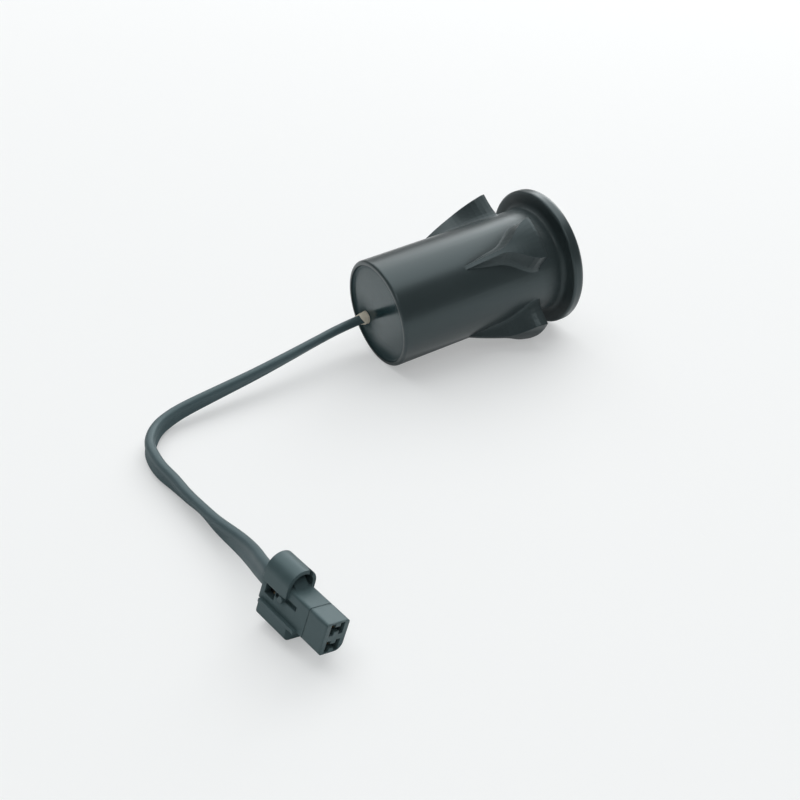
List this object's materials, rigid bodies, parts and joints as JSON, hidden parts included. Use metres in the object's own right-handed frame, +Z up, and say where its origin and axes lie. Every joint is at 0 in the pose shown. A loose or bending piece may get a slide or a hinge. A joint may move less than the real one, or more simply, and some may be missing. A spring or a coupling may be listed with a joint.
{
  "type": "parking sensor",
  "caption": "Round snap-in ultrasonic parking sensor: plain barrel with a flange, flared snap barbs, potted rear, and a short flat cable that ends in a small latching plug.",
  "frame": {"origin": "on the table, under the middle of the sensor's box without its cable and plug", "axes": "+X along the sensor's axis toward the flange, seen from above; +Z up; the sensor's nose is tilted up by 5.3 degrees, as it lies on its rear rim and two lower barbs"},
  "size_m": [0.087, 0.0774, 0.0263],
  "materials": {
    "housing_plastic": "satin black moulded plastic",
    "potting_epoxy": "glossy black cast epoxy",
    "bead_sealant": "pale beige sealant",
    "cable_jacket": "dark grey-green flexible jacket",
    "plug_plastic": "matte dark grey moulded plastic",
    "contact_metal": "tinned brass sheet",
    "core_white": "pale core insulation",
    "core_black": "dark core insulation",
    "cup_metal": "painted aluminium",
    "silicone": "dark silicone",
    "ceramic": "fired ceramic with a thin electrode",
    "damping_foam": "brown damping compound",
    "board_laminate": "green coated laminate",
    "ferrite": "dark sintered ferrite",
    "copper_wire": "lacquered copper wire",
    "chip_body": "black moulded packages",
    "capacitor_body": "tan ceramic blocks",
    "solder": "bright solder"
  },
  "bodies": {
    "root": {"housing": "housing_plastic", "transducer_cup": "cup_metal", "isolation_ring": "silicone", "rear_cushion": "silicone", "piezo_disc": "ceramic", "damping_pad": "damping_foam", "piezo_lead_left": "copper_wire", "piezo_lead_right": "copper_wire", "circuit_board": "board_laminate", "transformer_core": "ferrite", "transformer_winding": "copper_wire", "driver_chip": "chip_body", "capacitors": "capacitor_body", "resistors": "chip_body", "solder_joints": "solder", "potting": "potting_epoxy", "exit_sealant": "bead_sealant", "sensor_core_outer": "core_white", "sensor_core_inner": "core_black", "cable": "cable_jacket", "plug_housing": "plug_plastic", "plug_retainer": "plug_plastic", "contact_upper": "contact_metal", "contact_lower": "contact_metal", "plug_core_upper": "core_white", "plug_core_lower": "core_black"}
  },
  "joints": []
}
